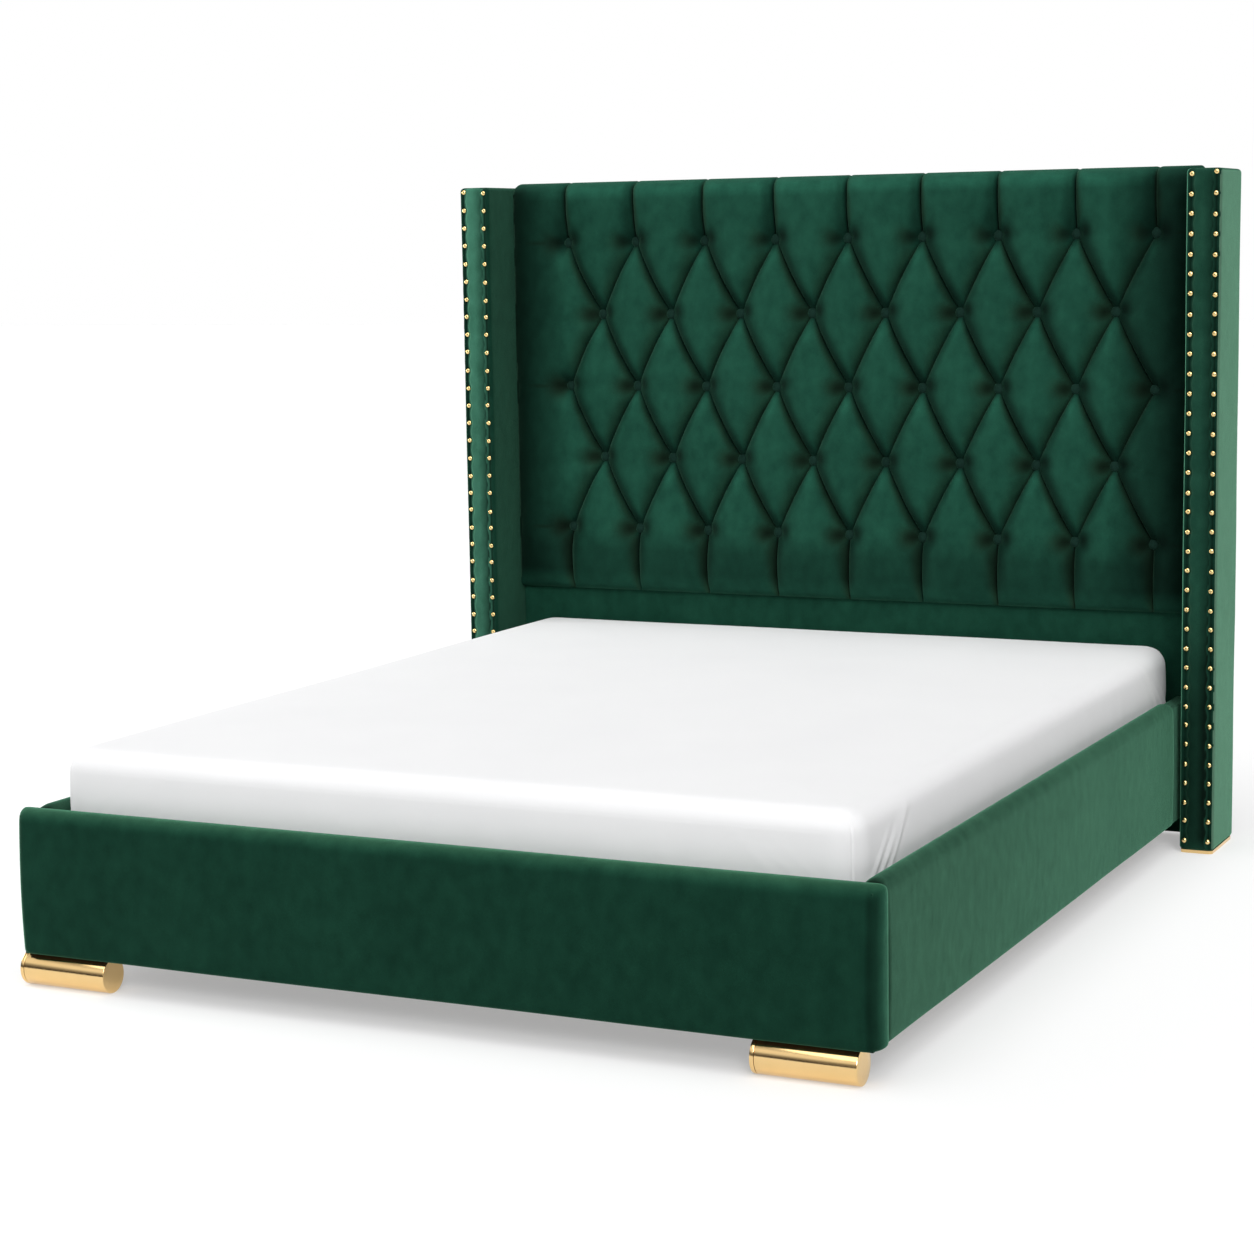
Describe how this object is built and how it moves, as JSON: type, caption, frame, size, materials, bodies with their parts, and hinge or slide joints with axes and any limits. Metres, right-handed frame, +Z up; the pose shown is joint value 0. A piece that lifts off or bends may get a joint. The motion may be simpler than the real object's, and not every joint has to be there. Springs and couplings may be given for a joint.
{
  "type": "upholstered headboard bed",
  "caption": "Double bed with a diamond-tufted velvet headboard between nail-trimmed wings, padded rails and footboard, slatted base, loose mattress with fitted sheet and gold feet.",
  "frame": {"origin": "on the floor, under the middle of the bed's outer box", "axes": "+Z up, +Y from the footboard towards the headboard, +X to the right as seen from the foot of the bed"},
  "size_m": [1.876, 2.112, 1.522],
  "materials": {
    "green_velvet": "dark green short-pile velvet over padding",
    "sheet_cloth": "smooth white woven cotton, lightly creased",
    "mattress_cloth": "off-white knitted ticking",
    "lining_cloth": "black lining cloth, stapled flat",
    "frame_wood": "planed pine and plywood, unfinished",
    "slat_birch": "laminated birch, sanded and sealed",
    "nail_brass": "lightly aged brass domes",
    "foot_brass": "polished gold-coloured metal",
    "zinc_steel": "zinc-plated steel",
    "leg_paint": "black powder coat",
    "holder_plastic": "black moulded plastic, fine grain"
  },
  "bodies": {
    "bed_frame": {"beam_hanger_foot": "zinc_steel", "beam_hanger_head": "zinc_steel", "bracket_bolts": "zinc_steel", "centre_beam": "frame_wood", "centre_leg_1": "leg_paint", "centre_leg_2": "leg_paint", "centre_leg_3": "leg_paint", "corner_bracket_foot_left": "zinc_steel", "corner_bracket_foot_right": "zinc_steel", "corner_bracket_head_left": "zinc_steel", "corner_bracket_head_right": "zinc_steel", "foot_caps": "foot_brass", "foot_studs": "zinc_steel", "footboard_core": "frame_wood", "footboard_cover": "green_velvet", "front_feet": "foot_brass", "hanger_screws": "zinc_steel", "headboard_back_cover": "lining_cloth", "headboard_board": "frame_wood", "headboard_bottom_rail": "frame_wood", "headboard_lower_band": "green_velvet", "headboard_mid_rail": "frame_wood", "headboard_post_left": "frame_wood", "headboard_post_right": "frame_wood", "headboard_top_rail": "frame_wood", "ledge_screws": "zinc_steel", "nailheads_left": "nail_brass", "nailheads_right": "nail_brass", "side_rail_core_left": "frame_wood", "side_rail_core_right": "frame_wood", "side_rail_cover_left": "green_velvet", "side_rail_cover_right": "green_velvet", "slat_holders_centre": "holder_plastic", "slat_holders_left": "holder_plastic", "slat_holders_right": "holder_plastic", "slat_ledge_left": "frame_wood", "slat_ledge_right": "frame_wood", "slats_left": "slat_birch", "slats_right": "slat_birch", "tuft_buttons": "green_velvet", "tufted_pad": "green_velvet", "wing_bolts": "zinc_steel", "wing_core_left": "frame_wood", "wing_core_right": "frame_wood", "wing_cover_left": "green_velvet", "wing_cover_right": "green_velvet", "wing_foot_left": "foot_brass", "wing_foot_right": "foot_brass"},
    "mattress": {"mattress": "mattress_cloth", "fitted_sheet": "sheet_cloth"},
    "levelling_foot_1": {"levelling_foot_1": "holder_plastic"},
    "levelling_foot_2": {"levelling_foot_2": "holder_plastic"},
    "levelling_foot_3": {"levelling_foot_3": "holder_plastic"}
  },
  "joints": [
    {"name": "mattress_tilt", "type": "hinge", "parent": "bed_frame", "child": "mattress", "pos_m": [0, 1, 0.41], "axis": [-1, 0, 0], "range_deg": [0, 35]},
    {"name": "levelling_foot_1_screw", "type": "slide", "parent": "bed_frame", "child": "levelling_foot_1", "axis": [0, 0, -1], "range_m": [0, 0.012]},
    {"name": "levelling_foot_2_screw", "type": "slide", "parent": "bed_frame", "child": "levelling_foot_2", "axis": [0, 0, -1], "range_m": [0, 0.012]},
    {"name": "levelling_foot_3_screw", "type": "slide", "parent": "bed_frame", "child": "levelling_foot_3", "axis": [0, 0, -1], "range_m": [0, 0.012]}
  ]
}
